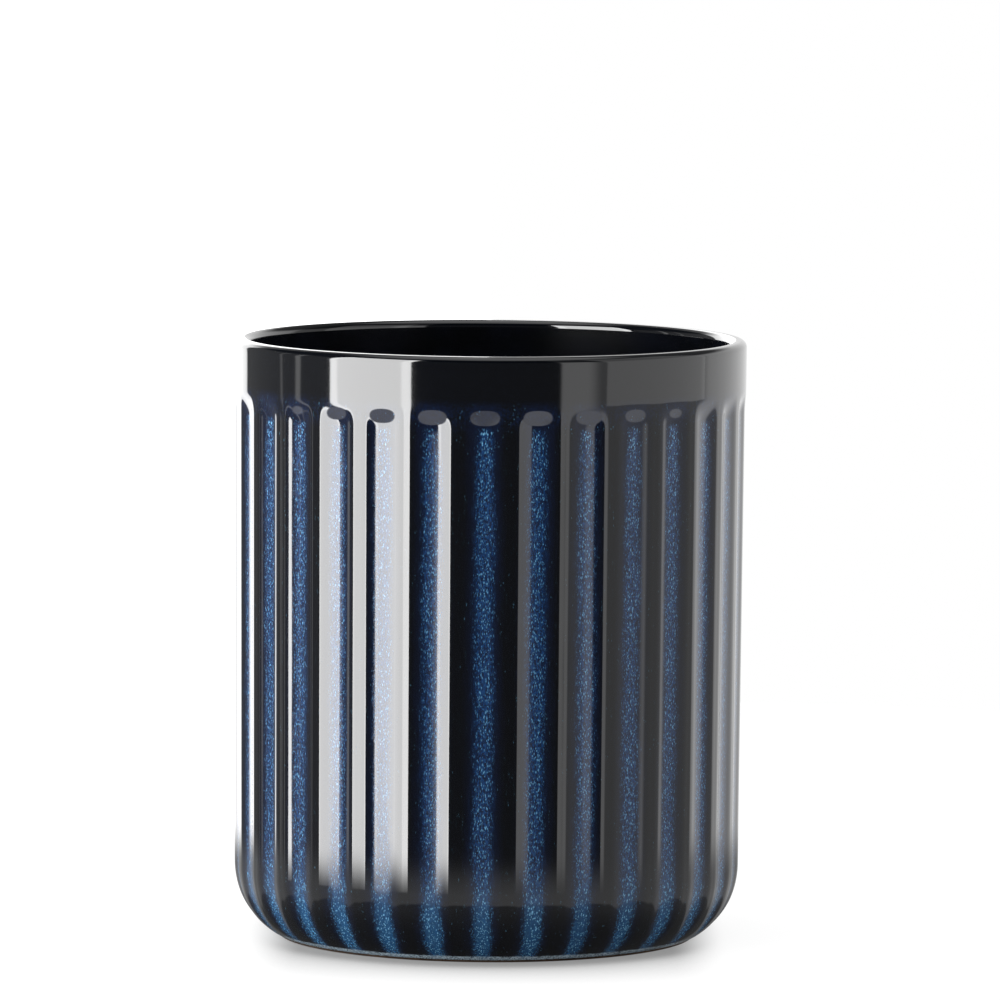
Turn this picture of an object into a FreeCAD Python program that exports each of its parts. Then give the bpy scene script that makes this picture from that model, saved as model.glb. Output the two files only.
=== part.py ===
import FreeCAD, Part
import math
import os

import Sketcher
from FreeCAD import Vector

# Driving sizes of the crock, in millimetres and degrees
SIZES = {
    "overall_height": 178.0,
    "rim_radius": 76.2,
    "wall_draft": 0.8,
    "corner_radius": 24.5,
    "corner_turn": 60.0,
    "rim_wall": 5.0,
    "lip_round": 2.1,
    "floor_thickness": 5.2,
    "inner_corner_radius": 18.0,
    "foot_lift": 0.8,
    "foot_batter": 0.6,
    "foot_width": 5.0,
    "recess_depth": 2.4,
    "recess_batter": 1.2,
    "glaze_thickness": 0.5,
    "flute_count": 31,
    "flute_depth": 1.3,
    "ridge_radius": 8.5,
    "ridge_relief": 0.05,
    "crest_strip": 0.8,
    "flute_top_drop": 20.2,
    "flute_end_height": 2.8,
}

os.makedirs("parts", exist_ok=True)
doc = FreeCAD.newDocument("utensil_crock")
sheet = doc.addObject("Spreadsheet::Sheet", "Sizes")
for row, (alias, number) in enumerate(SIZES.items(), start=1):
    sheet.set(f"A{row}", alias)
    sheet.set(f"B{row}", str(number))
    sheet.setAlias(f"B{row}", alias)
doc.recompute()

# Outer corner at the foot of the wall: centre of its arc, and where its glaze ends
CORNER_X = "(Sizes.rim_radius - Sizes.wall_draft - Sizes.corner_radius)"
CORNER_Z = "(Sizes.foot_lift + Sizes.corner_radius * sin(Sizes.corner_turn))"
GLAZE_EDGE_X = f"({CORNER_X} + Sizes.corner_radius * cos(Sizes.corner_turn))"

# Lip: centres of its outer and inner rounding
LIP_Z = "(Sizes.overall_height - Sizes.lip_round)"
LIP_OUTER_X = "(Sizes.rim_radius - Sizes.lip_round)"
BORE = "(Sizes.rim_radius - Sizes.rim_wall)"
LIP_INNER_X = f"({BORE} + Sizes.lip_round)"

# Inside, as the liner leaves it: the floor and the corner above it
FLOOR_Z = "(Sizes.recess_depth + Sizes.floor_thickness)"
INNER_CORNER_X = f"({BORE} - Sizes.inner_corner_radius)"
INNER_CORNER_Z = f"({FLOOR_Z} + Sizes.inner_corner_radius)"
LINER_BACK_RADIUS = "(Sizes.inner_corner_radius + Sizes.glaze_thickness)"

# Bare foot ring under the edge of the glaze, and the recess inside it
FOOT_TOP = f"({GLAZE_EDGE_X} - Sizes.glaze_thickness)"
FOOT_OUTER = f"({FOOT_TOP} - Sizes.foot_batter)"
FOOT_INNER = f"({FOOT_OUTER} - Sizes.foot_width)"
RECESS_Z = "(Sizes.recess_depth + Sizes.glaze_thickness)"
RECESS_RADIUS = f"({FOOT_INNER} - Sizes.recess_batter)"
RECESS_EDGE = f"({FOOT_INNER} - Sizes.recess_batter * Sizes.recess_depth / {RECESS_Z})"

# Flutes: level where their tops spring, their floor there, and the ridge between two of them
HALF_PITCH = "(180 / Sizes.flute_count)"
SPRING_Z = "(Sizes.overall_height - Sizes.flute_top_drop)"
DRAFT_SHARE = f"(({LIP_Z} - {SPRING_Z}) / ({LIP_Z} - {CORNER_Z}))"
SPRING_X = f"(Sizes.rim_radius - Sizes.wall_draft * {DRAFT_SHARE})"
FLUTE_FLOOR = f"({SPRING_X} - Sizes.flute_depth)"
RIDGE_CENTRE = f"({SPRING_X} + Sizes.ridge_relief - Sizes.ridge_radius)"
RIDGE_X = f"({RIDGE_CENTRE} * cos({HALF_PITCH}))"
RIDGE_Y = f"({RIDGE_CENTRE} * sin({HALF_PITCH}))"
CUT_EDGE_Y = f"(({RIDGE_CENTRE} + Sizes.ridge_radius) * sin({HALF_PITCH}) - Sizes.crest_strip / 2)"

# Hollow of a flute: the radius that touches the ridges on both sides of it
HOLLOW = (
    f"(({RIDGE_CENTRE} ^ 2 + {FLUTE_FLOOR} ^ 2"
    f" - 2 * {FLUTE_FLOOR} * {RIDGE_X} - Sizes.ridge_radius ^ 2)"
    f" / (2 * (Sizes.ridge_radius - {FLUTE_FLOOR} + {RIDGE_X})))"
)

# Lower end of a flute: its floor bends in from the wall and comes out through the corner
WALL_FLOOR_X = "(Sizes.rim_radius - Sizes.wall_draft - Sizes.flute_depth)"
FLOOR_SHIFT = f"({FLUTE_FLOOR} - {WALL_FLOOR_X})"
END_DROP = f"({CORNER_Z} - Sizes.flute_end_height)"
END_X = f"({CORNER_X} + sqrt(Sizes.corner_radius ^ 2 - {END_DROP} ^ 2))"
END_INSET = f"({WALL_FLOOR_X} - {END_X})"
BEND_RADIUS = f"(({END_INSET} ^ 2 + {END_DROP} ^ 2) / (2 * {END_INSET}))"

# How far a cut goes on past the surface that it comes out of, in millimetres and degrees
CUT_MARGIN = 3.0
TOP_TURN = 36.0
END_TURN_MARGIN = 6.0
BEND_TURN = f"(asin({END_DROP} / {BEND_RADIUS}) + {END_TURN_MARGIN} deg)"

START, END, CENTRE = 1, 2, 3


def value(expression):
    """The number that an expression of the sheet comes to."""
    return float(sheet.evalExpression(str(expression)))


def origin_feature(body, role):
    return next(item for item in body.Origin.OriginFeatures if item.Role == role)


def add_sketch(body, name, role):
    sketch = body.newObject("Sketcher::SketchObject", name)
    sketch.AttachmentSupport = [(origin_feature(body, role), "")]
    sketch.MapMode = "FlatFace"
    return sketch


def add_line(sketch, start, end):
    return sketch.addGeometry(Part.LineSegment(Vector(*start, 0), Vector(*end, 0)))


def add_arc(sketch, centre, radius, start, end):
    """An arc that runs counterclockwise from start to end."""
    circle = Part.Circle(Vector(*centre, 0), Vector(0, 0, 1), radius)
    first = math.atan2(start[1] - centre[1], start[0] - centre[0])
    last = math.atan2(end[1] - centre[1], end[0] - centre[0])
    if last <= first:
        last += 2 * math.pi
    return sketch.addGeometry(Part.ArcOfCircle(circle, first, last))


def join(sketch, kind, first, first_point, second, second_point):
    sketch.addConstraint(Sketcher.Constraint(kind, first, first_point, second, second_point))


def bind(sketch, name, kind, place, expression):
    """A named dimension of the sketch that takes its number from the sheet."""
    index = sketch.addConstraint(Sketcher.Constraint(kind, *place, value(expression)))
    sketch.renameConstraint(index, name)
    sketch.setExpression("Constraints." + name, expression)


def bind_point(sketch, name, item, point, x=None, y=None):
    """Holds a point of the sketch at its distance from the sketch's origin."""
    if x is not None:
        bind(sketch, name + "_x", "DistanceX", (-1, 1, item, point), x)
    if y is not None:
        bind(sketch, name + "_y", "DistanceY", (-1, 1, item, point), y)


def level(sketch, *lines):
    for line in lines:
        sketch.addConstraint(Sketcher.Constraint("Horizontal", line))


def hold_on_axis(sketch, line):
    """Keeps both ends of a line on the crock's own axis."""
    for point in (START, END):
        sketch.addConstraint(Sketcher.Constraint("PointOnObject", line, point, -2))


def common_tangent(low_centre, low_radius, high_centre, high_radius):
    """Where one straight wall touches the corner below it and the lip above it."""
    run = high_centre[0] - low_centre[0]
    rise = high_centre[1] - low_centre[1]
    lean = math.asin((low_radius - high_radius) / math.hypot(run, rise)) - math.atan2(run, rise)
    outward = (math.cos(lean), math.sin(lean))
    low = tuple(c + low_radius * n for c, n in zip(low_centre, outward))
    high = tuple(c + high_radius * n for c, n in zip(high_centre, outward))
    return low, high


def draw_outside(sketch):
    """Corner, wall and lip, up from the edge of the glaze. Returns the two free ends."""
    corner_centre = (value(CORNER_X), value(CORNER_Z))
    corner_radius = value("Sizes.corner_radius")
    lip_radius = value("Sizes.lip_round")
    lip_z = value(LIP_Z)
    outer_centre = (value(LIP_OUTER_X), lip_z)
    inner_centre = (value(LIP_INNER_X), lip_z)
    glaze_edge = (value(GLAZE_EDGE_X), value("Sizes.foot_lift"))
    low, high = common_tangent(corner_centre, corner_radius, outer_centre, lip_radius)
    crest_outer = (outer_centre[0], lip_z + lip_radius)
    crest_inner = (inner_centre[0], lip_z + lip_radius)
    bore_top = (value(BORE), lip_z)

    corner = add_arc(sketch, corner_centre, corner_radius, glaze_edge, low)
    wall = add_line(sketch, low, high)
    outer_round = add_arc(sketch, outer_centre, lip_radius, high, crest_outer)
    crest = add_line(sketch, crest_outer, crest_inner)
    inner_round = add_arc(sketch, inner_centre, lip_radius, crest_inner, bore_top)

    join(sketch, "Tangent", corner, END, wall, START)
    join(sketch, "Tangent", wall, END, outer_round, START)
    join(sketch, "Tangent", outer_round, END, crest, START)
    join(sketch, "Tangent", crest, END, inner_round, START)
    level(sketch, crest)
    bind_point(sketch, "corner_centre", corner, CENTRE, CORNER_X, CORNER_Z)
    bind(sketch, "corner_radius", "Radius", (corner,), "Sizes.corner_radius")
    bind_point(sketch, "glaze_edge", corner, START, y="Sizes.foot_lift")
    bind_point(sketch, "outer_round", outer_round, CENTRE, LIP_OUTER_X, LIP_Z)
    bind(sketch, "lip_radius", "Radius", (outer_round,), "Sizes.lip_round")
    bind_point(sketch, "inner_round", inner_round, CENTRE, LIP_INNER_X, LIP_Z)
    bind_point(sketch, "bore_top", inner_round, END, y=LIP_Z)
    return (corner, glaze_edge), (inner_round, bore_top)


def draw_body(sketch):
    """Half section of the fired body: wall, lip, liner seat, inside, recess and foot ring."""
    (corner, glaze_edge), (inner_round, bore_top) = draw_outside(sketch)
    centre = (value(INNER_CORNER_X), value(INNER_CORNER_Z))
    radius = value(LINER_BACK_RADIUS)
    seat = (centre[0] + radius, bore_top[1])
    bore_foot = (centre[0] + radius, centre[1])
    floor_edge = (centre[0], centre[1] - radius)
    floor_middle = (0, floor_edge[1])
    recess_middle = (0, value(RECESS_Z))
    recess_side = (value(RECESS_RADIUS), recess_middle[1])
    foot_inner = (value(FOOT_INNER), 0)
    foot_outer = (value(FOOT_OUTER), 0)
    foot_top = (value(FOOT_TOP), glaze_edge[1])

    liner_seat = add_line(sketch, bore_top, seat)
    bore = add_line(sketch, seat, bore_foot)
    inner_corner = add_arc(sketch, centre, radius, floor_edge, bore_foot)
    floor = add_line(sketch, floor_edge, floor_middle)
    axis = add_line(sketch, floor_middle, recess_middle)
    recess = add_line(sketch, recess_middle, recess_side)
    recess_wall = add_line(sketch, recess_side, foot_inner)
    foot = add_line(sketch, foot_inner, foot_outer)
    foot_side = add_line(sketch, foot_outer, foot_top)
    glaze_lap = add_line(sketch, foot_top, glaze_edge)

    join(sketch, "Coincident", inner_round, END, liner_seat, START)
    join(sketch, "Coincident", liner_seat, END, bore, START)
    join(sketch, "Tangent", bore, END, inner_corner, END)
    join(sketch, "Tangent", inner_corner, START, floor, START)
    chain = (floor, axis, recess, recess_wall, foot, foot_side, glaze_lap)
    for before, after in zip(chain, chain[1:] + (corner,)):
        join(sketch, "Coincident", before, END, after, START)
    level(sketch, liner_seat, floor, recess, foot, glaze_lap)
    hold_on_axis(sketch, axis)
    sketch.addConstraint(Sketcher.Constraint("Vertical", bore))
    bind_point(sketch, "inner_corner", inner_corner, CENTRE, INNER_CORNER_X, INNER_CORNER_Z)
    bind(sketch, "inner_corner_radius", "Radius", (inner_corner,), LINER_BACK_RADIUS)
    bind_point(sketch, "recess", recess, END, RECESS_RADIUS, RECESS_Z)
    bind_point(sketch, "foot_inner", foot, START, FOOT_INNER)
    bind_point(sketch, "foot_outer", foot, END, FOOT_OUTER)
    bind_point(sketch, "foot_top", foot_side, END, FOOT_TOP)
    sketch.addConstraint(Sketcher.Constraint("PointOnObject", foot, START, -1))


def draw_liner(sketch):
    """Half section of the coat inside, with its floor at zero."""
    coat = value("Sizes.glaze_thickness")
    inside = value("Sizes.inner_corner_radius")
    outside = value(LINER_BACK_RADIUS)
    centre = (value(INNER_CORNER_X), inside)
    top = value(f"{LIP_Z} - {FLOOR_Z}")
    bore_x = centre[0] + inside
    back_x = centre[0] + outside

    edge = add_line(sketch, (bore_x, top), (back_x, top))
    back = add_line(sketch, (back_x, top), (back_x, inside))
    back_corner = add_arc(sketch, centre, outside, (centre[0], -coat), (back_x, inside))
    under = add_line(sketch, (centre[0], -coat), (0, -coat))
    axis = add_line(sketch, (0, -coat), (0, 0))
    face = add_line(sketch, (0, 0), (centre[0], 0))
    corner = add_arc(sketch, centre, inside, (centre[0], 0), (bore_x, inside))
    bore = add_line(sketch, (bore_x, inside), (bore_x, top))

    join(sketch, "Coincident", edge, END, back, START)
    join(sketch, "Tangent", back, END, back_corner, END)
    join(sketch, "Tangent", back_corner, START, under, START)
    join(sketch, "Coincident", under, END, axis, START)
    join(sketch, "Coincident", axis, END, face, START)
    join(sketch, "Tangent", face, END, corner, START)
    join(sketch, "Tangent", corner, END, bore, START)
    join(sketch, "Coincident", bore, END, edge, START)
    join(sketch, "Coincident", back_corner, CENTRE, corner, CENTRE)
    level(sketch, edge, under, face)
    hold_on_axis(sketch, axis)
    for upright in (back, bore):
        sketch.addConstraint(Sketcher.Constraint("Vertical", upright))
    bind_point(sketch, "corner", corner, CENTRE, INNER_CORNER_X, "Sizes.inner_corner_radius")
    bind(sketch, "corner_radius", "Radius", (corner,), "Sizes.inner_corner_radius")
    bind(sketch, "back_radius", "Radius", (back_corner,), LINER_BACK_RADIUS)
    bind_point(sketch, "edge", edge, START, y=f"{LIP_Z} - {FLOOR_Z}")


def draw_base_coat(sketch):
    """Half section of the coat in the recess, which ends on the sloping side of the foot ring."""
    high = value("Sizes.glaze_thickness")
    corners = [(0, 0), (value(RECESS_EDGE), 0), (value(RECESS_RADIUS), high), (0, high)]
    sides = [add_line(sketch, corners[n - 1], corners[n]) for n in range(1, len(corners))]
    sides.append(add_line(sketch, corners[-1], corners[0]))
    for before, after in zip(sides, sides[1:] + sides[:1]):
        join(sketch, "Coincident", before, END, after, START)
    face, _, back, axis = sides
    level(sketch, face, back)
    hold_on_axis(sketch, axis)
    bind_point(sketch, "face", face, END, RECESS_EDGE)
    bind_point(sketch, "back", back, START, RECESS_RADIUS, "Sizes.glaze_thickness")
    sketch.addConstraint(Sketcher.Constraint("PointOnObject", face, END, -1))


def add_piece(name, draw):
    """A sub-part that is turned from its half section about the crock's axis."""
    body = doc.addObject("PartDesign::Body", name)
    body.Label = name
    sketch = add_sketch(body, name + "_section", "XZ_Plane")
    draw(sketch)
    turned = body.newObject("PartDesign::Revolution", name + "_turned")
    turned.Profile = (sketch, [""])
    turned.ReferenceAxis = (sketch, ["V_Axis"])
    turned.Angle = 360
    doc.recompute()
    return body


def draw_flute_cut(sketch, shift, turning_x):
    """What a flute takes out of the wall: its hollow and half a ridge each side, open outwards.

    The section lies this far in from where the flute springs, and the line is what it turns about.
    """
    hollow_radius = value(HOLLOW)
    ridge_radius = value("Sizes.ridge_radius")
    hollow_x = f"{FLUTE_FLOOR} + {HOLLOW} - {shift}"
    ridge_x = f"{RIDGE_X} - {shift}"
    mouth_x = f"{SPRING_X} + {CUT_MARGIN} - {shift}"
    hollow_centre = (value(hollow_x), 0)
    ridge_centre = (value(ridge_x), value(RIDGE_Y))
    share = hollow_radius / (hollow_radius + ridge_radius)
    touch = (
        hollow_centre[0] + (ridge_centre[0] - hollow_centre[0]) * share,
        ridge_centre[1] * share,
    )
    edge_y = value(CUT_EDGE_Y)
    edge_x = ridge_centre[0] + math.sqrt(ridge_radius ** 2 - (edge_y - ridge_centre[1]) ** 2)
    cut_edge = (edge_x, edge_y)
    mouth = (value(mouth_x), edge_y)

    def mirrored(point):
        return (point[0], -point[1])

    hollow = add_arc(sketch, hollow_centre, hollow_radius, touch, mirrored(touch))
    upper = add_arc(sketch, ridge_centre, ridge_radius, touch, cut_edge)
    lower = add_arc(sketch, mirrored(ridge_centre), ridge_radius, mirrored(cut_edge), mirrored(touch))
    upper_side = add_line(sketch, cut_edge, mouth)
    mouth_line = add_line(sketch, mouth, mirrored(mouth))
    lower_side = add_line(sketch, mirrored(mouth), mirrored(cut_edge))
    axis_end = (value(turning_x), CUT_MARGIN)
    turning = add_line(sketch, mirrored(axis_end), axis_end)
    sketch.setConstruction(turning, True)

    join(sketch, "Tangent", hollow, START, upper, START)
    join(sketch, "Tangent", hollow, END, lower, END)
    chain = (upper_side, mouth_line, lower_side)
    join(sketch, "Coincident", upper, END, upper_side, START)
    for before, after in zip(chain, chain[1:] + (lower,)):
        join(sketch, "Coincident", before, END, after, START)
    sketch.addConstraint(Sketcher.Constraint("PointOnObject", hollow, CENTRE, -1))
    bind_point(sketch, "hollow", hollow, CENTRE, hollow_x)
    bind(sketch, "hollow_radius", "Radius", (hollow,), HOLLOW)
    bind_point(sketch, "upper", upper, CENTRE, ridge_x, RIDGE_Y)
    bind_point(sketch, "upper_edge", upper, END, y=CUT_EDGE_Y)
    bind_point(sketch, "lower", lower, CENTRE, ridge_x, f"-{RIDGE_Y}")
    bind_point(sketch, "lower_edge", lower, START, y=f"-{CUT_EDGE_Y}")
    level(sketch, upper_side, lower_side)
    for upright in (mouth_line, turning):
        sketch.addConstraint(Sketcher.Constraint("Vertical", upright))
    bind_point(sketch, "mouth", mouth_line, START, mouth_x)
    bind_point(sketch, "turning", turning, END, turning_x, str(CUT_MARGIN))
    bind_point(sketch, "turning_low", turning, START, y=str(-CUT_MARGIN))


def draw_flute_line(sketch):
    """Floor of a flute down the drafted wall, from where it springs to the corner."""
    line = add_line(sketch, (value(FLUTE_FLOOR), value(SPRING_Z)), (value(WALL_FLOOR_X), value(CORNER_Z)))
    bind_point(sketch, "spring", line, START, FLUTE_FLOOR, SPRING_Z)
    bind_point(sketch, "wall_foot", line, END, WALL_FLOOR_X, CORNER_Z)


def cut_by_turning(body, name, section, turn, reverse):
    """Cuts what the section sweeps as it turns about the line drawn in it."""
    before = body.Tip.Shape.Volume
    cut = body.newObject("PartDesign::Groove", name)
    cut.Profile = (section, [""])
    cut.ReferenceAxis = (section, ["Axis0"])
    cut.Reversed = reverse
    cut.setExpression("Angle", turn)
    doc.recompute()
    if cut.Shape.Volume >= before:
        raise RuntimeError(f"{name} took nothing off the wall")
    return cut


def cut_flutes(body):
    """Cuts one flute down the wall, its ball end above and its bend below, and repeats them."""
    path = add_sketch(body, "flute_line", "XZ_Plane")
    draw_flute_line(path)
    section = add_sketch(body, "flute_section", "XY_Plane")
    section.setExpression("AttachmentOffset.Base.z", SPRING_Z)
    draw_flute_cut(section, "0", f"{FLUTE_FLOOR} + {HOLLOW}")
    low_section = add_sketch(body, "bend_section", "XY_Plane")
    low_section.setExpression("AttachmentOffset.Base.z", CORNER_Z)
    draw_flute_cut(low_section, FLOOR_SHIFT, f"{WALL_FLOOR_X} - {BEND_RADIUS}")
    doc.recompute()

    before = body.Tip.Shape.Volume
    flute = body.newObject("PartDesign::SubtractivePipe", "flute")
    flute.Profile = (section, [""])
    flute.Spine = (path, [])
    doc.recompute()
    if flute.Shape.Volume >= before:
        raise RuntimeError("the flute took nothing off the wall")
    top = cut_by_turning(body, "flute_top", section, str(TOP_TURN), False)
    bend = cut_by_turning(body, "flute_bend", low_section, BEND_TURN, False)

    ring = body.newObject("PartDesign::PolarPattern", "flutes")
    ring.Originals = [flute, top, bend]
    ring.Axis = (origin_feature(body, "Z_Axis"), [""])
    ring.Angle = 360
    ring.setExpression("Occurrences", "Sizes.flute_count")
    body.Tip = ring
    doc.recompute()


stoneware = add_piece("stoneware_body", draw_body)
cut_flutes(stoneware)

liner = add_piece("liner_glaze", draw_liner)
liner.setExpression("Placement.Base.z", FLOOR_Z)

base = add_piece("base_glaze", draw_base_coat)
base.setExpression("Placement.Base.z", "Sizes.recess_depth")
doc.recompute()

pieces = [stoneware, liner, base]
for item in doc.Objects:
    faults = [state for state in item.State if state in ("Invalid", "Error")]
    if faults:
        raise RuntimeError(f"{item.Label} did not build: {faults}")
for piece in pieces:
    if piece.Shape.isNull() or not piece.Shape.isValid():
        raise RuntimeError(f"{piece.Label} has no sound solid")
for piece in pieces:
    piece.Shape.exportStep(f"parts/{piece.Label}.step")
    print(piece.Label, len(piece.Shape.Solids), round(piece.Shape.Volume, 1))
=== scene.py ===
import math

import bpy
from mathutils import Matrix, Vector


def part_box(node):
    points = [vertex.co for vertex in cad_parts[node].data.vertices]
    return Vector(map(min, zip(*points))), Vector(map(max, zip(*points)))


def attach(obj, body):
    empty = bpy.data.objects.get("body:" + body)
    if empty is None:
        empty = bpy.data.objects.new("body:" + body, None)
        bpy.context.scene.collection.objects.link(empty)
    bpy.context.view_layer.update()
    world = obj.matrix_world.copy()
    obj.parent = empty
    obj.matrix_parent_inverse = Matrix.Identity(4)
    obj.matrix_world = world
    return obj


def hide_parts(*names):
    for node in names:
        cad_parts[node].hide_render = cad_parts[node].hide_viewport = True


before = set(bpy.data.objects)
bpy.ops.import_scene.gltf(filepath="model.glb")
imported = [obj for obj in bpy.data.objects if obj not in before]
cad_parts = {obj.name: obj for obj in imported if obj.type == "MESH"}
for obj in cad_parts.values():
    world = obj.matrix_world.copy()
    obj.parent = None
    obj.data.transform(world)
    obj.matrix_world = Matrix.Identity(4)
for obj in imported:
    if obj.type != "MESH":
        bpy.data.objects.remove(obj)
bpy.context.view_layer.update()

MM = 0.001

# Glazed body: one vessel of fired stoneware, pressed in a mould with flutes all round,
# under a plain band and a soft lip. A reactive glaze covers it down to the foot, runs off
# the ridges and pools in the flutes.
_, body_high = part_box("stoneware_body")
liner_low, liner_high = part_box("liner_glaze")
base_low, base_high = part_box("base_glaze")

# The plain vessel: a wall that leans out a little, over a round corner and a stepped foot.
height = body_high.z
rim_radius = body_high.x
wall_draft = 0.8 * MM
corner_radius = 24.5 * MM
corner_turn = math.radians(60)
lip_round = 2.1 * MM
foot_lift = 0.8 * MM
foot_batter = 0.6 * MM
foot_width = 5.0 * MM
glaze_thickness = 0.5 * MM
liner_back = liner_high.x
bore = liner_back - glaze_thickness
liner_floor = liner_low.z + glaze_thickness
inner_corner_radius = 18.0 * MM

corner_x = rim_radius - wall_draft - corner_radius
corner_z = foot_lift + corner_radius * math.sin(corner_turn)
glaze_edge_x = corner_x + corner_radius * math.cos(corner_turn)
lip_z = height - lip_round
foot_top = glaze_edge_x - glaze_thickness
foot_outer = foot_top - foot_batter
foot_inner = foot_outer - foot_width
recess_z = base_high.z
recess_batter = (foot_inner - base_high.x) / base_low.z
recess_radius = foot_inner - recess_batter * recess_z

# The flutes: each is a hollow arc that runs into the round ridges on both sides of it.
flute_count = 31
flute_depth = 1.3 * MM
ridge_radius = 8.5 * MM
ridge_relief = 0.05 * MM
spring_z = height - 20.2 * MM
flute_end_z = 2.8 * MM
flute_top_z = height - 14.4 * MM
flute_run_out = 6.6 * MM
edge_softness = 0.16 * MM
half_pitch = math.pi / flute_count

# Where the two arcs meet, and the long bend in which a flute follows the corner to its end.
spring_x = rim_radius - wall_draft * (lip_z - spring_z) / (lip_z - corner_z)
floor_x = spring_x - flute_depth
ridge_centre = spring_x + ridge_relief - ridge_radius
ridge_x = ridge_centre * math.cos(half_pitch)
hollow_radius = (
    (ridge_centre ** 2 + floor_x ** 2 - 2 * floor_x * ridge_x - ridge_radius ** 2)
    / (2 * (ridge_radius - floor_x + ridge_x))
)
end_drop = corner_z - flute_end_z
end_x = corner_x + math.sqrt(corner_radius ** 2 - end_drop ** 2)
end_inset = rim_radius - wall_draft - flute_depth - end_x
bend_radius = (end_inset ** 2 + end_drop ** 2) / (2 * end_inset)
bend_offset = bend_radius + flute_depth - corner_radius


def section_depth(across):
    """How deep a flute is at a share of the way from its middle to the ridge beside it."""
    side = across * spring_x * math.sin(half_pitch)
    reach = ridge_centre * math.sin(half_pitch)
    touch = reach * hollow_radius / (hollow_radius + ridge_radius)
    if side < touch:
        return flute_depth - hollow_radius + math.sqrt(hollow_radius ** 2 - side ** 2)
    ridge = ridge_x + math.sqrt(ridge_radius ** 2 - (side - reach) ** 2)
    return max(0.0, floor_x + flute_depth - ridge)


def soft_positive(value):
    """Nought below nought and the value above it, with the corner between them eased."""
    return (value + math.sqrt(value ** 2 + edge_softness ** 2)) / 2


def flute_depth_at(z, turn, across):
    """Depth of the flutes: they run out softly above, go straight down the wall and fade
    in a long bend below."""
    section = section_depth(across)
    if z > flute_top_z - flute_run_out:
        rise = min(1.0, max(0.0, (flute_top_z - z) / flute_run_out))
        return soft_positive(section) * rise ** 2 * (3 - 2 * rise)
    if turn > 0:
        reach = bend_radius + flute_depth - section
        run = math.sqrt(reach ** 2 - (bend_offset * math.sin(turn)) ** 2)
        return soft_positive(corner_radius + bend_offset * math.cos(turn) - run)
    return soft_positive(section)


def arc(centre_x, centre_z, radius, first, last, steps):
    """Points of an arc with their outward direction, from one angle to another in degrees."""
    points = []
    for step in range(steps + 1):
        angle = math.radians(first + (last - first) * step / steps)
        out = (math.cos(angle), math.sin(angle))
        points.append((centre_x + radius * out[0], centre_z + radius * out[1], out))
    return points


def outside_profile():
    """The glazed outside from the foot up over the lip, as radius, height and outward direction.
    The glaze ends above the foot in a small bead, and the corner starts a few degrees past it.
    Rows are close where the flutes run out."""
    lean = math.asin(wall_draft / (lip_z - corner_z))
    turn = math.degrees(corner_turn)
    bead_radius, bead_inset = 0.35 * MM, 0.2 * MM
    degrees_past = 2.2
    bead = arc(glaze_edge_x - bead_inset, foot_lift + bead_radius, bead_radius, -90, -turn, 4)
    low = arc(corner_x, corner_z, corner_radius, degrees_past - turn, -math.degrees(lean), 44)
    high = arc(rim_radius - lip_round, lip_z, lip_round, 0, 90, 12)
    low_end, high_start = low[-1], high[0]
    straight_rows = [z * MM for z in (30, 45, 60, 75, 90, 105, 120, 135, 147)]
    run_out_rows = [flute_top_z - flute_run_out + step * 0.3 * MM for step in range(-1, 26)]
    band_rows = [height - drop * MM for drop in (12, 11, 10, 8, 6, 4, 3)]
    wall = []
    for z in straight_rows + run_out_rows + band_rows:
        share = (z - low_end[1]) / (high_start[1] - low_end[1])
        wall.append((low_end[0] + share * (high_start[0] - low_end[0]), z, (1.0, -math.sin(lean))))
    inner = arc(bore + lip_round, lip_z, lip_round, 90, 180, 12)
    return bead + low + wall + high + inner


def sector_mesh(name, columns):
    """One flute of the outside with the full section of the vessel behind it. Each point keeps
    how far it is from the flute's middle, 0 there and 1 on the ridge, for the glaze to read."""
    inner_corner = arc(bore - inner_corner_radius, liner_floor + inner_corner_radius,
                       inner_corner_radius + glaze_thickness, 0, -90, 12)
    inside = [(liner_back, lip_z, None)]
    inside += [(x, z, None) for x, z, _ in inner_corner]
    inside += [(0.0, liner_low.z, None)]
    under = [(0.0, recess_z, None), (recess_radius, recess_z, None), (foot_top, foot_lift, None)]
    profile = under + outside_profile() + inside
    vertices, faces, across_of = [], [], []
    for column in range(columns + 1):
        offset = 2 * column / columns - 1
        across = abs(offset)
        azimuth = offset * half_pitch
        for x, z, out in profile:
            if out is not None and foot_lift < z < lip_z:
                drop = corner_z - z
                turn = math.asin(min(1.0, drop / corner_radius)) if drop > 0 else 0.0
                cut = flute_depth_at(z, turn, across)
                x, z = x - cut * out[0], z - cut * out[1]
            vertices.append((x * math.cos(azimuth), x * math.sin(azimuth), z))
            across_of.append(across)
    rows = len(profile)
    for column in range(columns):
        for row in range(rows - 1):
            first = column * rows + row
            faces.append((first, first + rows, first + rows + 1, first + 1))
    mesh = bpy.data.meshes.new(name)
    mesh.from_pydata(vertices, [], faces)
    attribute = mesh.attributes.new("across", "FLOAT", "POINT")
    attribute.data.foreach_set("value", across_of)
    return mesh


def add(tree, kind, links=(), **settings):
    """Adds a node with its settings, and links its inputs from (input, output) pairs."""
    node = tree.nodes.new(kind)
    inputs = settings.pop("inputs", {})
    for name, value in settings.items():
        setattr(node, name, value)
    for name, value in inputs.items():
        node.inputs[name].default_value = value
    for name, output in links:
        tree.links.new(output, node.inputs[name])
    return node


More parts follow.
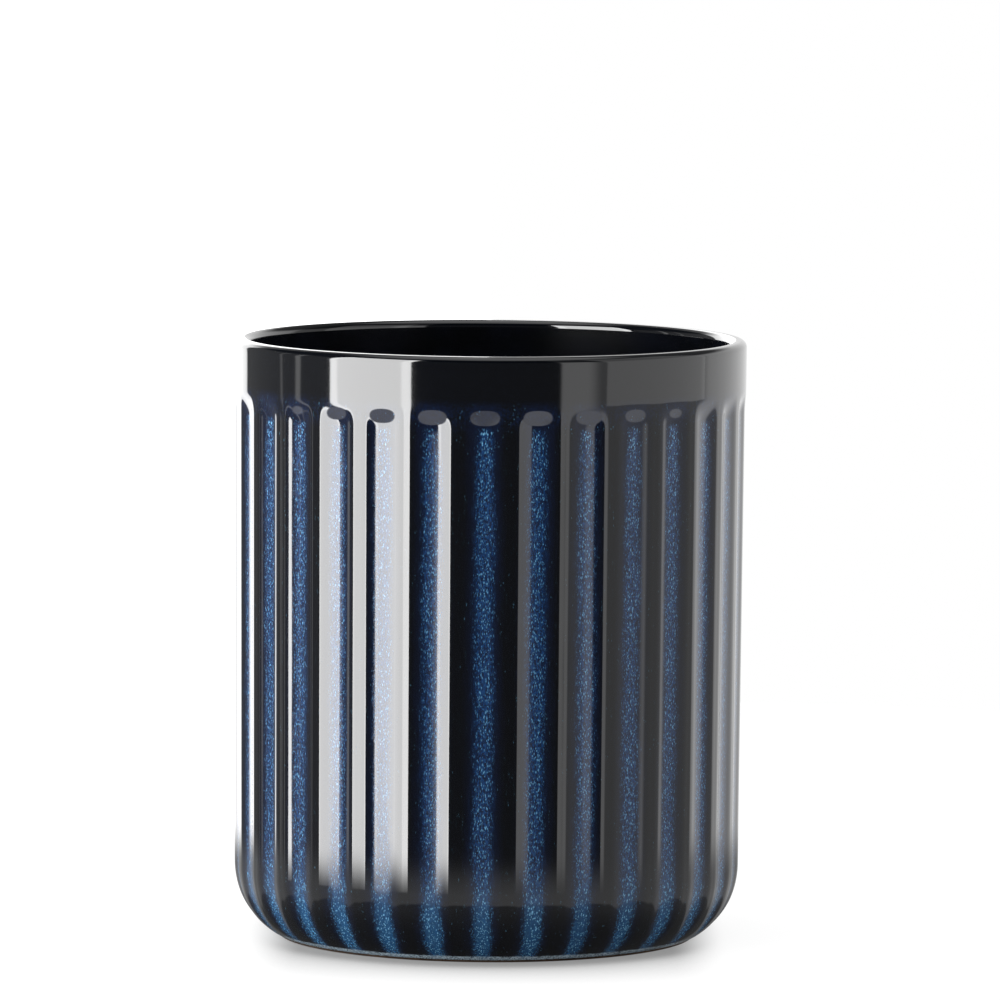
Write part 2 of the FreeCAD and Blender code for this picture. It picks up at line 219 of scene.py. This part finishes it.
def ring_tree():
    """A tree that repeats one sector of a turned vessel all round, joins the copies and shades
    them smooth, apart from edges that bend by more than the crease angle."""
    crease_angle = math.radians(35)
    tree = bpy.data.node_groups.new("ring_of_sectors", "GeometryNodeTree")
    for name, kind in (("Geometry", "NodeSocketGeometry"), ("Count", "NodeSocketInt"),
                       ("Join distance", "NodeSocketFloat"), ("Finish", "NodeSocketMaterial")):
        tree.interface.new_socket(name, in_out="INPUT", socket_type=kind)
    tree.interface.new_socket("Geometry", in_out="OUTPUT", socket_type="NodeSocketGeometry")
    given = add(tree, "NodeGroupInput").outputs
    index = add(tree, "GeometryNodeInputIndex").outputs["Index"]
    step = add(tree, "ShaderNodeMath", [(1, given["Count"])], operation="DIVIDE",
               inputs={0: math.tau})
    turn = add(tree, "ShaderNodeMath", [(0, index), (1, step.outputs[0])], operation="MULTIPLY")
    angles = add(tree, "ShaderNodeCombineXYZ", [("Z", turn.outputs[0])])
    points = add(tree, "GeometryNodePoints", [("Count", given["Count"])])
    copies = add(tree, "GeometryNodeInstanceOnPoints",
                 [("Points", points.outputs[0]), ("Instance", given["Geometry"]),
                  ("Rotation", angles.outputs[0])])
    real = add(tree, "GeometryNodeRealizeInstances", [("Geometry", copies.outputs[0])])
    joined = add(tree, "GeometryNodeMergeByDistance",
                 [("Geometry", real.outputs[0]), ("Distance", given["Join distance"])])
    smooth = add(tree, "GeometryNodeSetShadeSmooth", [("Geometry", joined.outputs[0])])
    bend = add(tree, "GeometryNodeInputMeshEdgeAngle").outputs["Unsigned Angle"]
    soft = add(tree, "FunctionNodeCompare", [("A", bend)], data_type="FLOAT", operation="LESS_THAN",
               inputs={"B": crease_angle})
    creased = add(tree, "GeometryNodeSetShadeSmooth",
                  [("Geometry", smooth.outputs[0]), ("Shade Smooth", soft.outputs[0])],
                  domain="EDGE")
    finish = add(tree, "GeometryNodeSetMaterial",
                 [("Geometry", creased.outputs[0]), ("Material", given["Finish"])])
    add(tree, "NodeGroupOutput", [("Geometry", finish.outputs[0])])
    return tree


def ring_piece(name, sector, count, finish):
    """A piece made by the ring tree from one sector, as a plain mesh."""
    piece = bpy.data.objects.new(name, sector)
    bpy.context.scene.collection.objects.link(piece)
    modifier = piece.modifiers.new("ring", "NODES")
    modifier.node_group = rings
    names = {item.name: item.identifier
             for item in rings.interface.items_tree if item.in_out == "INPUT"}
    modifier[names["Count"]] = count
    modifier[names["Join distance"]] = 0.01 * MM
    modifier[names["Finish"]] = finish
    shown = piece.evaluated_get(bpy.context.evaluated_depsgraph_get())
    mesh = bpy.data.meshes.new_from_object(shown)
    piece.modifiers.clear()
    piece.data = mesh
    return piece


def colour(code):
    """An sRGB hex colour as linear values."""
    parts = [int(code[n:n + 2], 16) / 255 for n in (1, 3, 5)]
    return [c / 12.92 if c <= 0.04045 else ((c + 0.055) / 1.055) ** 2.4 for c in parts] + [1.0]


def new_material(name):
    """An empty material and its node tree."""
    material = bpy.data.materials.new(name)
    material.use_nodes = True
    material.node_tree.nodes.clear()
    return material, material.node_tree


def math_node(tree, operation, first, second=0.0, clamp=False):
    """The result of one sum, from sockets or plain numbers."""
    node = tree.nodes.new("ShaderNodeMath")
    node.operation = operation
    node.use_clamp = clamp
    for slot, value in enumerate((first, second)):
        if isinstance(value, (int, float)):
            node.inputs[slot].default_value = value
        else:
            tree.links.new(value, node.inputs[slot])
    return node.outputs[0]


def ramp(tree, value, low, high, first=0.0, last=1.0):
    """Eases from the first value to the last as the input goes from low to high."""
    node = add(tree, "ShaderNodeMapRange", [("Value", value)], interpolation_type="SMOOTHSTEP",
               inputs={"From Min": low, "From Max": high, "To Min": first, "To Max": last})
    return node.outputs[0]


def between(tree, value, low, high, soft, tone):
    """A tone between two values, with eased sides, and nought outside them."""
    rise = ramp(tree, value, low - soft, low + soft, 0.0, tone)
    return math_node(tree, "MULTIPLY", rise, ramp(tree, value, high - soft, high + soft, 1.0, 0.0))


def mix_value(tree, share, first, second):
    """Blends two plain values, each a socket or a number."""
    rest = math_node(tree, "SUBTRACT", 1.0, share)
    return math_node(tree, "ADD", math_node(tree, "MULTIPLY", first, rest),
                     math_node(tree, "MULTIPLY", second, share))


def mix_colour(tree, share, first, second):
    """Blends two colours, each a socket or linear values."""
    node = tree.nodes.new("ShaderNodeMix")
    node.data_type = "RGBA"
    tree.links.new(share, node.inputs[0])
    for slot, value in ((6, first), (7, second)):
        if isinstance(value, list):
            node.inputs[slot].default_value = value
        else:
            tree.links.new(value, node.inputs[slot])
    return node.outputs[2]


def reactive_glaze():
    """Reactive stoneware glaze, fired glossy: near black where thin, blue where it pools,
    with pale crystals drawn down the flutes. The eye gets deep gloss and a speckled blue.
    The crystals are drawn coarser than real ones, which are too fine to show from here."""
    cloud_size, grain_size, ripple_size = 5.0 * MM, 0.9 * MM, 7.0 * MM
    mottle_size, crystal_size = 0.5 * MM, 0.42 * MM
    ripple_depth = 0.08 * MM
    run_stretch = (1.0, 1.0, 0.22)
    crystal_stretch = (1.0, 1.0, 0.42)
    material, tree = new_material("reactive_glaze")
    place = add(tree, "ShaderNodeTexCoord").outputs["Object"]
    level = add(tree, "ShaderNodeSeparateXYZ", [(0, place)]).outputs["Z"]
    across = add(tree, "ShaderNodeAttribute", attribute_name="across").outputs["Fac"]

    # The edge of the pool wanders and frays, as glaze does that ran down while molten.
    drawn = add(tree, "ShaderNodeMapping", [("Vector", place)],
                inputs={"Scale": run_stretch}).outputs[0]
    cloud = add(tree, "ShaderNodeTexNoise", [("Vector", drawn)],
                inputs={"Scale": 1 / cloud_size, "Detail": 3.0, "Roughness": 0.55}).outputs["Fac"]
    grain = add(tree, "ShaderNodeTexNoise", [("Vector", drawn)],
                inputs={"Scale": 1 / grain_size, "Detail": 2.0, "Roughness": 0.6}).outputs["Fac"]
    wander = math_node(tree, "MULTIPLY", math_node(tree, "SUBTRACT", cloud, 0.5), 0.26)
    fray = math_node(tree, "MULTIPLY", math_node(tree, "SUBTRACT", grain, 0.5), 0.34)
    edge = math_node(tree, "ADD", math_node(tree, "ADD", across, wander), fray)

    # The blue pool, narrower towards its top, and the navy halo round it that also reaches
    # the ledge over the flutes.
    closing = ramp(tree, level, spring_z - 14 * MM, spring_z, 0.0, 0.12)
    pool = ramp(tree, math_node(tree, "ADD", edge, closing), 0.12, 0.52, 1.0, 0.0)
    halo = ramp(tree, edge, 0.3, 0.86, 1.0, 0.0)
    top = ramp(tree, math_node(tree, "ADD", level, math_node(tree, "MULTIPLY", wander, 8 * MM)),
               spring_z - 2.2 * MM, spring_z - 0.2 * MM, 1.0, 0.0)
    haze = ramp(tree, level, spring_z + 4 * MM, spring_z + 8 * MM, 1.0, 0.0)
    pool = math_node(tree, "MULTIPLY", pool, top)
    halo = math_node(tree, "MULTIPLY", halo, haze)

    # Crystals: more of them under the flutes' tops and on the lower curve, where the glaze is
    # thickest, and a few strays on the ridges.
    speck_place = add(tree, "ShaderNodeMapping", [("Vector", place)],
                      inputs={"Scale": crystal_stretch}).outputs[0]
    mottle = add(tree, "ShaderNodeTexNoise", [("Vector", speck_place)],
                 inputs={"Scale": 1 / mottle_size, "Detail": 2.0, "Roughness": 0.75}).outputs["Fac"]
    specks = add(tree, "ShaderNodeTexVoronoi", [("Vector", speck_place)],
                 inputs={"Scale": 1 / crystal_size, "Randomness": 1.0}).outputs["Distance"]
    crystal = ramp(tree, specks, 0.2, 0.48, 1.0, 0.0)
    crystal = math_node(tree, "MULTIPLY", crystal, ramp(tree, mottle, 0.46, 0.57))
    near_top = ramp(tree, level, spring_z - 12 * MM, spring_z + 1 * MM, 0.0, 1.0)
    near_foot = ramp(tree, level, 9 * MM, 30 * MM, 1.0, 0.0)
    rich = math_node(tree, "ADD", near_top, near_foot, clamp=True)
    amount = math_node(tree, "ADD", math_node(tree, "MULTIPLY", rich, 0.45), 0.5)
    stray = math_node(tree, "MULTIPLY", ramp(tree, grain, 0.57, 0.69, 0.0, 0.24), haze)
    crystal = math_node(tree, "MULTIPLY", math_node(tree, "MULTIPLY", crystal, amount),
                        math_node(tree, "MAXIMUM", pool, stray))

    # The thin pale line where the glaze breaks over its own edge above the foot.
    foot_level = math_node(tree, "ADD", level, math_node(tree, "MULTIPLY", wander, 2 * MM))
    foot_line = ramp(tree, foot_level, 1.8 * MM, 2.4 * MM, 1.0, 0.0)
    foot_line = math_node(tree, "MULTIPLY", foot_line, ramp(tree, mottle, 0.38, 0.6, 0.2, 1.0))

    deep = colour("#06080d")
    shade = mix_colour(tree, halo, deep, colour("#0a1226"))
    ledge = between(tree, level, spring_z, flute_top_z, 2.5 * MM, 0.4)
    ledge = math_node(tree, "MULTIPLY", ledge, ramp(tree, mottle, 0.42, 0.66))
    shade = mix_colour(tree, ledge, shade, colour("#12264a"))
    thick = math_node(tree, "MULTIPLY", near_foot, 0.4)
    clouded = mix_colour(tree, ramp(tree, mottle, 0.36, 0.62), colour("#081a38"), colour("#123a68"))
    clouded = mix_colour(tree, thick, clouded, colour("#2c6694"))
    shade = mix_colour(tree, pool, shade, clouded)
    shade = mix_colour(tree, crystal, shade, colour("#80c8ee"))
    shade = mix_colour(tree, foot_line, shade, colour("#cfe6f5"))

    ripple = add(tree, "ShaderNodeTexNoise", [("Vector", drawn)],
                 inputs={"Scale": 1 / ripple_size, "Detail": 1.0}).outputs["Fac"]
    relief = math_node(tree, "ADD", ripple, math_node(tree, "MULTIPLY", crystal, 0.08))
    bump = add(tree, "ShaderNodeBump", [("Height", relief)],
               inputs={"Strength": 0.35, "Distance": ripple_depth}).outputs[0]
    rough = math_node(tree, "ADD", math_node(tree, "MULTIPLY", pool, 0.2), 0.07)
    shader = add(tree, "ShaderNodeBsdfPrincipled",
                 [("Base Color", shade), ("Roughness", rough), ("Normal", bump),
                  ("Coat Normal", bump)],
                 inputs={"IOR": 1.65, "Coat Weight": 1.0, "Coat Roughness": 0.04, "Coat IOR": 1.5})
    add(tree, "ShaderNodeOutputMaterial", [("Surface", shader.outputs[0])])
    return material


columns_per_flute = 22
rings = ring_tree()
glazed = ring_piece("glazed_body", sector_mesh("flute_sector", columns_per_flute), flute_count,
                    reactive_glaze())
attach(glazed, "root")
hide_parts("stoneware_body")


# Foot ring: the bare clay that the vessel stands on in the kiln, wiped clean of glaze
# and sponged, so its edges are slightly rounded and its face is dry and toasted.
foot_round = 0.3 * MM
foot_flare = 0.1 * MM
turned_sectors = 180


def turned_sector(name, profile, count):
    """One sector of a plain turned piece, from a closed or axis-to-axis outline."""
    vertices, faces = [], []
    for azimuth in (-math.pi / count, math.pi / count):
        vertices += [(x * math.cos(azimuth), x * math.sin(azimuth), z) for x, z in profile]
    rows = len(profile)
    for row in range(rows - 1):
        faces.append((row, row + rows, row + rows + 1, row + 1))
    mesh = bpy.data.meshes.new(name)
    mesh.from_pydata(vertices, [], faces)
    return mesh


def flat(points):
    """The points of an arc without their outward directions."""
    return [(x, z) for x, z, _ in points]


def bare_clay():
    """Unglazed stoneware, wheel-sponged: matte warm brown with iron specks and a fine tooth."""
    tone_size, iron_size = 6.0 * MM, 1.6 * MM
    tooth_size, tooth_depth = 0.5 * MM, 0.06 * MM
    material, tree = new_material("bare_stoneware")
    place = add(tree, "ShaderNodeTexCoord").outputs["Object"]
    tone = add(tree, "ShaderNodeTexNoise", [("Vector", place)],
               inputs={"Scale": 1 / tone_size, "Detail": 4.0}).outputs["Fac"]
    tooth = add(tree, "ShaderNodeTexNoise", [("Vector", place)],
                inputs={"Scale": 1 / tooth_size, "Detail": 3.0, "Roughness": 0.7}).outputs["Fac"]
    iron = add(tree, "ShaderNodeTexVoronoi", [("Vector", place)], inputs={"Scale": 1 / iron_size})
    fleck = ramp(tree, iron.outputs["Distance"], 0.08, 0.2, 1.0, 0.0)
    shade = mix_colour(tree, ramp(tree, tone, 0.35, 0.65), colour("#3b2c21"), colour("#574435"))
    shade = mix_colour(tree, fleck, shade, colour("#3a2718"))
    bump = add(tree, "ShaderNodeBump", [("Height", tooth)],
               inputs={"Strength": 0.5, "Distance": tooth_depth}).outputs[0]
    shader = add(tree, "ShaderNodeBsdfPrincipled", [("Base Color", shade), ("Normal", bump)],
                 inputs={"Roughness": 0.85})
    add(tree, "ShaderNodeOutputMaterial", [("Surface", shader.outputs[0])])
    return material


foot_profile = (
    [(foot_top, foot_lift), (recess_radius, recess_z)]
    + [(foot_inner - foot_flare, foot_round)]
    + flat(arc(foot_inner + foot_round, foot_round, foot_round, 200, 270, 3))
    + flat(arc(foot_outer - foot_round, foot_round, foot_round, 270, 330, 3))
    + [(foot_top, foot_lift)]
)
foot = ring_piece("foot_ring", turned_sector("foot_sector", foot_profile, turned_sectors),
                  turned_sectors, bare_clay())
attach(foot, "root")
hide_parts("stoneware_body")


# Liner: the black glossy glaze poured into the vessel and out again, which lines the bore
# and the floor in one even coat and meets the outer glaze inside the lip.
def black_glaze():
    """Black liner glaze, poured and fired glossy: deep black with a faint ripple in its gloss."""
    cloud_size, ripple_depth = 14.0 * MM, 0.12 * MM
    material, tree = new_material("black_liner_glaze")
    place = add(tree, "ShaderNodeTexCoord").outputs["Object"]
    cloud = add(tree, "ShaderNodeTexNoise", [("Vector", place)],
                inputs={"Scale": 1 / cloud_size, "Detail": 3.0}).outputs["Fac"]
    shade = mix_colour(tree, ramp(tree, cloud, 0.35, 0.7), colour("#050608"), colour("#0a0c12"))
    bump = add(tree, "ShaderNodeBump", [("Height", cloud)],
               inputs={"Strength": 0.2, "Distance": ripple_depth}).outputs[0]
    shader = add(tree, "ShaderNodeBsdfPrincipled",
                 [("Base Color", shade), ("Normal", bump), ("Coat Normal", bump)],
                 inputs={"Roughness": 0.14, "IOR": 1.6, "Coat Weight": 1.0, "Coat Roughness": 0.04,
                         "Coat IOR": 1.5})
    add(tree, "ShaderNodeOutputMaterial", [("Surface", shader.outputs[0])])
    return material


liner_corner_x = bore - inner_corner_radius
liner_corner_z = liner_floor + inner_corner_radius
liner_profile = (
    [(0.0, liner_low.z)]
    + flat(arc(liner_corner_x, liner_corner_z, inner_corner_radius + glaze_thickness, -90, 0, 12))
    + [(liner_back, lip_z), (bore, lip_z)]
    + flat(arc(liner_corner_x, liner_corner_z, inner_corner_radius, 0, -90, 24))
    + [(0.0, liner_floor)]
)
liner = ring_piece("liner", turned_sector("liner_sector", liner_profile, turned_sectors),
                   turned_sectors, black_glaze())
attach(liner, "root")
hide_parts("liner_glaze")


# Base coat: the glaze brushed on the recess inside the foot ring on a turning wheel, which
# shows only when the crock is turned over.
def brushed_glaze():
    """Dark navy glaze, brushed on a turning wheel: rings of thicker and thinner blue in a
    slightly uneven gloss. The noise is read along the distance from the axis, so that it
    runs in rings, with a small share of the place so that the rings waver."""
    stroke_size, stroke_depth = 2.2 * MM, 0.1 * MM
    waver = 0.04
    material, tree = new_material("brushed_navy_glaze")
    place = add(tree, "ShaderNodeTexCoord").outputs["Object"]
    away = add(tree, "ShaderNodeVectorMath", [(0, place)], operation="LENGTH").outputs["Value"]
    along = add(tree, "ShaderNodeVectorMath", [(0, place)], operation="SCALE",
                inputs={"Scale": waver}).outputs[0]
    outward = add(tree, "ShaderNodeCombineXYZ", [("Z", away)]).outputs[0]
    rings_place = add(tree, "ShaderNodeVectorMath", [(0, along), (1, outward)],
                      operation="ADD").outputs[0]
    stroke = add(tree, "ShaderNodeTexNoise", [("Vector", rings_place)],
                 inputs={"Scale": 1 / stroke_size, "Detail": 3.0, "Roughness": 0.6}).outputs["Fac"]
    shade = mix_colour(tree, ramp(tree, stroke, 0.35, 0.7), colour("#090d18"), colour("#16294a"))
    bump = add(tree, "ShaderNodeBump", [("Height", stroke)],
               inputs={"Strength": 0.4, "Distance": stroke_depth}).outputs[0]
    shader = add(tree, "ShaderNodeBsdfPrincipled",
                 [("Base Color", shade), ("Normal", bump), ("Coat Normal", bump)],
                 inputs={"Roughness": 0.2, "IOR": 1.6, "Coat Weight": 1.0, "Coat Roughness": 0.06,
                         "Coat IOR": 1.5})
    add(tree, "ShaderNodeOutputMaterial", [("Surface", shader.outputs[0])])
    return material


edge_width = 1.2 * MM
edge_swell = 0.12 * MM
base_profile = [
    (0.0, base_low.z + edge_swell),
    (base_high.x - edge_width, base_low.z + edge_swell),
    (base_high.x, base_low.z),
    (recess_radius, base_high.z),
    (0.0, base_high.z),
]
base = ring_piece("base_coat", turned_sector("base_sector", base_profile, turned_sectors),
                  turned_sectors, brushed_glaze())
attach(base, "root")
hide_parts("base_glaze")


# Studio: the vessel stands on a white table between a tall softbox at the left front and
# paler walls at the sides. In front, past the camera, the room is dark.
camera_turn = math.radians(-91.94)
camera_distance = 2.568
camera_height = 0.371
camera_yaw, camera_pitch, camera_roll = (math.radians(turn) for turn in (-0.073, -5.369, -0.425))
towards_camera = Vector((math.cos(camera_turn), math.sin(camera_turn), 0.0))
rightwards = Vector((-math.sin(camera_turn), math.cos(camera_turn), 0.0))

camera_data = bpy.data.cameras.new("camera")
camera_data.sensor_width = 36.0
camera_data.lens = 312.3
camera = bpy.data.objects.new("camera", camera_data)
camera.matrix_world = (
    Matrix.Translation(towards_camera * camera_distance + Vector((0, 0, camera_height)))
    @ Matrix.Rotation(camera_turn + math.radians(90) + camera_yaw, 4, "Z")
    @ Matrix.Rotation(camera_pitch, 4, "X")
    @ Matrix.Rotation(camera_roll, 4, "Y")
    @ Matrix.Rotation(math.radians(90), 4, "X")
)
bpy.context.scene.collection.objects.link(camera)
bpy.context.scene.camera = camera


def studio_place(right, back, up):
    """A point by how far it is to the right, away from the camera and up, from the foot."""
    return rightwards * right - towards_camera * back + Vector((0, 0, up))


white = (1, 1, 1, 1)


def panel(name, first, second, low, top, radiance, distance=1.6, rim=0.0):
    """A soft panel that stands upright between two directions, in degrees to the right of the
    camera, and faces the vessel. Its cloth is brighter along both sides by the rim's share."""
    ends = []
    for turn in (first, second):
        side = math.radians(turn)
        ends.append(studio_place(distance * math.sin(side), -distance * math.cos(side), 0))
    data = bpy.data.lights.new(name, "AREA")
    data.shape = "RECTANGLE"
    data.size = (ends[1] - ends[0]).length
    data.size_y = top - low
    data.energy = radiance * math.pi * data.size * data.size_y
    data.use_nodes = True
    tree = data.node_tree
    tree.nodes.clear()
    cloth = add(tree, "ShaderNodeNewGeometry").outputs["Parametric"]
    parts = add(tree, "ShaderNodeSeparateXYZ", [(0, cloth)]).outputs
    glow = math_node(tree, "SUBTRACT", 1.0 + rim, between(tree, parts["X"], 0.1, 0.88, 0.02, rim))
    cloth_light = add(tree, "ShaderNodeEmission", [("Strength", glow)], inputs={"Color": white})
    add(tree, "ShaderNodeOutputLight", [("Surface", cloth_light.outputs[0])])
    lamp = bpy.data.objects.new(name, data)
    middle = (ends[0] + ends[1]) / 2 + Vector((0, 0, (low + top) / 2))
    facing = Vector((-middle.x, -middle.y, 0)).to_track_quat("-Z", "Y")
    lamp.matrix_world = Matrix.Translation(middle) @ facing.to_matrix().to_4x4()
    bpy.context.scene.collection.objects.link(lamp)
    return lamp


# The softbox gives the white strips. The fills light the blue and show in no reflection. The
# two cards hang close to the vessel and give the plain band its grey at the right.
panel("key_softbox", -74.2, -34.3, low=-0.5, top=1.5, radiance=5.9, rim=0.27)
side_fill = panel("side_fill", -135, -88, low=-0.3, top=1.3, radiance=7.0)
back_fill = panel("back_fill", 50, 115, low=-0.3, top=1.3, radiance=2.3)
for lamp in (side_fill, back_fill):
    lamp.visible_glossy = False
panel("grey_card_front", 46.3, 70.8, low=0.143, top=0.46, radiance=0.4, distance=0.27)
panel("grey_card_side", 70.8, 98.5, low=0.143, top=0.46, radiance=0.4, distance=0.27)


def studio_world():
    """White to the camera. To everything else, the tone of the room in each direction, given
    in degrees to the right of the camera."""
    world = bpy.data.worlds.new("studio")
    world.use_nodes = True
    tree = world.node_tree
    tree.nodes.clear()
    direction = add(tree, "ShaderNodeTexCoord").outputs["Generated"]
    faced = add(tree, "ShaderNodeVectorRotate", [("Vector", direction)], rotation_type="Z_AXIS",
                inputs={"Angle": -camera_turn}).outputs[0]
    parts = add(tree, "ShaderNodeSeparateXYZ", [(0, faced)]).outputs
    turn = math_node(tree, "DEGREES", math_node(tree, "ARCTAN2", parts["Y"], parts["X"]))
    # From behind on the left round to the front: a white wall, two slim lamps, a faint glow
    # and then the dark.
    tone = math_node(tree, "ADD", ramp(tree, turn, -142, -139.5, 2.2, 0.04),
                     between(tree, turn, -108.4, -106.4, 0.6, 0.3))
    tone = math_node(tree, "ADD", tone, between(tree, turn, -97.0, -94.0, 0.8, 0.65))
    tone = math_node(tree, "ADD", tone, between(tree, turn, -139, -77, 3.0, 0.1))
    # A grey wall on the right, darker in its middle.
    tone = math_node(tree, "ADD", tone, ramp(tree, turn, 31, 33, 0.0, 0.78))
    tone = math_node(tree, "SUBTRACT", tone, between(tree, turn, 48, 112, 4.0, 0.5))
    # The walls end above, under a softly lit ceiling.
    tone = math_node(tree, "MULTIPLY", tone, ramp(tree, parts["Z"], 0.3, 0.5, 1.0, 0.1))
    tone = math_node(tree, "ADD", tone, ramp(tree, parts["Z"], 0.8, 0.95, 0.0, 0.7))
    # Diffuse rays get less of all this, so that the lamps model the matte and coloured parts.
    path = add(tree, "ShaderNodeLightPath").outputs
    diffuse_loss = math_node(tree, "MULTIPLY", path["Is Diffuse Ray"], 0.6)
    tone = math_node(tree, "MULTIPLY", tone, math_node(tree, "SUBTRACT", 1.0, diffuse_loss))
    strength = math_node(tree, "MAXIMUM", path["Is Camera Ray"], tone)
    backdrop = add(tree, "ShaderNodeBackground", [("Strength", strength)], inputs={"Color": white})
    add(tree, "ShaderNodeOutputWorld", [("Surface", backdrop.outputs[0])])
    bpy.context.scene.world = world


studio_world()


def table_finish():
    """White satin table, lifted to clear white for the camera, with a painted contact shadow where
    the vessel shades it. In the glaze it shows as a painted reflection, dim with painted shade
    beside the foot and bright where it is seen from above, and at a low angle it ends a hand's
    width away, so that the lamps show past its edge."""
    material, tree = new_material("white_table")
    path = add(tree, "ShaderNodeLightPath").outputs
    place = add(tree, "ShaderNodeTexCoord").outputs["Object"]
    away = add(tree, "ShaderNodeVectorMath", [(0, place)], operation="LENGTH").outputs["Value"]
    sideways = add(tree, "ShaderNodeVectorMath", [(0, place)], operation="DOT_PRODUCT",
                   inputs={1: rightwards}).outputs["Value"]
    aside = math_node(tree, "ABSOLUTE", sideways)

    # To the camera: white, with a painted contact shadow before the foot, darker where occlusion is
    # high, and little of it at the sides.
    open_sky = add(tree, "ShaderNodeAmbientOcclusion", samples=16,
                   inputs={"Distance": 0.078}).outputs["AO"]
    painted_shadow_share = ramp(tree, aside, 0.054, 0.072, 1.0, 0.1)
    # Painted contact shadow: occlusion darkens the white lift near the foot, mostly in the middle
    # and only a tenth of it at the sides.
    lift_with_painted_shadow = mix_value(tree, painted_shadow_share, 0.98, ramp(tree, open_sky, 0.3, 0.94, 0.25, 0.98))
    card = add(tree, "ShaderNodeBsdfDiffuse", inputs={"Color": colour("#5c5c5c")})
    lift = add(tree, "ShaderNodeEmission", [("Strength", lift_with_painted_shadow)], inputs={"Color": white})
    shown = add(tree, "ShaderNodeAddShader", [(0, card.outputs[0]), (1, lift.outputs[0])])

    # To matte parts that it throws light on: plain pale board.
    plain = add(tree, "ShaderNodeBsdfDiffuse", inputs={"Color": colour("#c4c4c4")})

    # To reflections: a painted reflection of the lit table, its own tone from above, and at a low
    # angle dim and then clear.
    flat_angle = add(tree, "ShaderNodeLayerWeight", inputs={"Blend": 0.5}).outputs["Facing"]
    steep = ramp(tree, flat_angle, 0.59, 0.63, 1.0, 0.0)
    bright = math_node(tree, "MULTIPLY", ramp(tree, away, 0.15, 0.21, 0.25, 1.0),
                       ramp(tree, aside, 0.0, 0.12, 0.46, 0.74))
    tone = mix_value(tree, steep, 0.36, bright)
    # Painted shade in this reflection: darker near the foot, where the vessel shades the table.
    tone = math_node(tree, "MULTIPLY", tone, ramp(tree, away, 0.06, 0.11, 0.25, 1.0))
    painted_reflection = add(tree, "ShaderNodeEmission", [("Strength", tone)], inputs={"Color": white})
    clear = add(tree, "ShaderNodeBsdfTransparent")
    past = math_node(tree, "MULTIPLY", ramp(tree, away, 0.195, 0.305),
                     math_node(tree, "SUBTRACT", 1.0, steep))
    painted_reflection = add(tree, "ShaderNodeMixShader",
                   [(0, past), (1, painted_reflection.outputs[0]), (2, clear.outputs[0])])

    lit = add(tree, "ShaderNodeMixShader",
              [(0, path["Is Camera Ray"]), (1, plain.outputs[0]), (2, shown.outputs[0])])
    both = add(tree, "ShaderNodeMixShader",
               [(0, path["Is Glossy Ray"]), (1, lit.outputs[0]), (2, painted_reflection.outputs[0])])
    add(tree, "ShaderNodeOutputMaterial", [("Surface", both.outputs[0])])
    return material


table_radius = 0.6
table_sides = 64
table_angles = [n * math.tau / table_sides for n in range(table_sides)]
table_edge = [(table_radius * math.cos(angle), table_radius * math.sin(angle), 0.0)
              for angle in table_angles]
table_mesh = bpy.data.meshes.new("table")
table_mesh.from_pydata(table_edge, [], [list(range(table_sides))])
table = bpy.data.objects.new("table", table_mesh)
table_mesh.materials.append(table_finish())
bpy.context.scene.collection.objects.link(table)

bpy.context.scene.view_settings.view_transform = "Standard"
